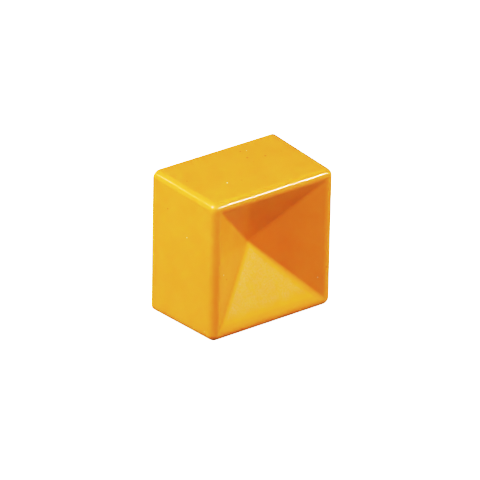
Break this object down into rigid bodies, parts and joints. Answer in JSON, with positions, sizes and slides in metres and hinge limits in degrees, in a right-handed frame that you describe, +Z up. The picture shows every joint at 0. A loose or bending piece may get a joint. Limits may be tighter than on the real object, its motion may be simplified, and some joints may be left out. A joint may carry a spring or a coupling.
{
  "type": "raised pavement marker",
  "caption": "Amber retroreflective marker block with a pyramid-shaped recess in its front face and a keyed bonding face behind, for adhesive mounting.",
  "frame": {"origin": "centre of the bounding box's bottom, under the side wall that the block stands on", "axes": "+Z up, -Y out of the pyramid recess, +Y out of the bonding face, +X to the right seen from the recess side"},
  "size_m": [0.0518, 0.032, 0.0518],
  "materials": {
    "amber_shell": "glossy moulded amber plastic",
    "amber_prism": "clear amber acrylic with cube-corner prisms behind",
    "white_carrier": "plain white moulded plastic",
    "seal_foam": "closed-cell foam",
    "sand_resin": "cast sand-filled resin",
    "grey_base": "matt glass-filled moulding"
  },
  "bodies": {
    "root": {"housing": "amber_shell", "reflector_bottom": "amber_prism", "reflector_right": "amber_prism", "reflector_top": "amber_prism", "reflector_left": "amber_prism", "reflector_carrier": "white_carrier", "carrier_seal": "seal_foam", "filler_core": "sand_resin", "base_plate": "grey_base"}
  },
  "joints": []
}
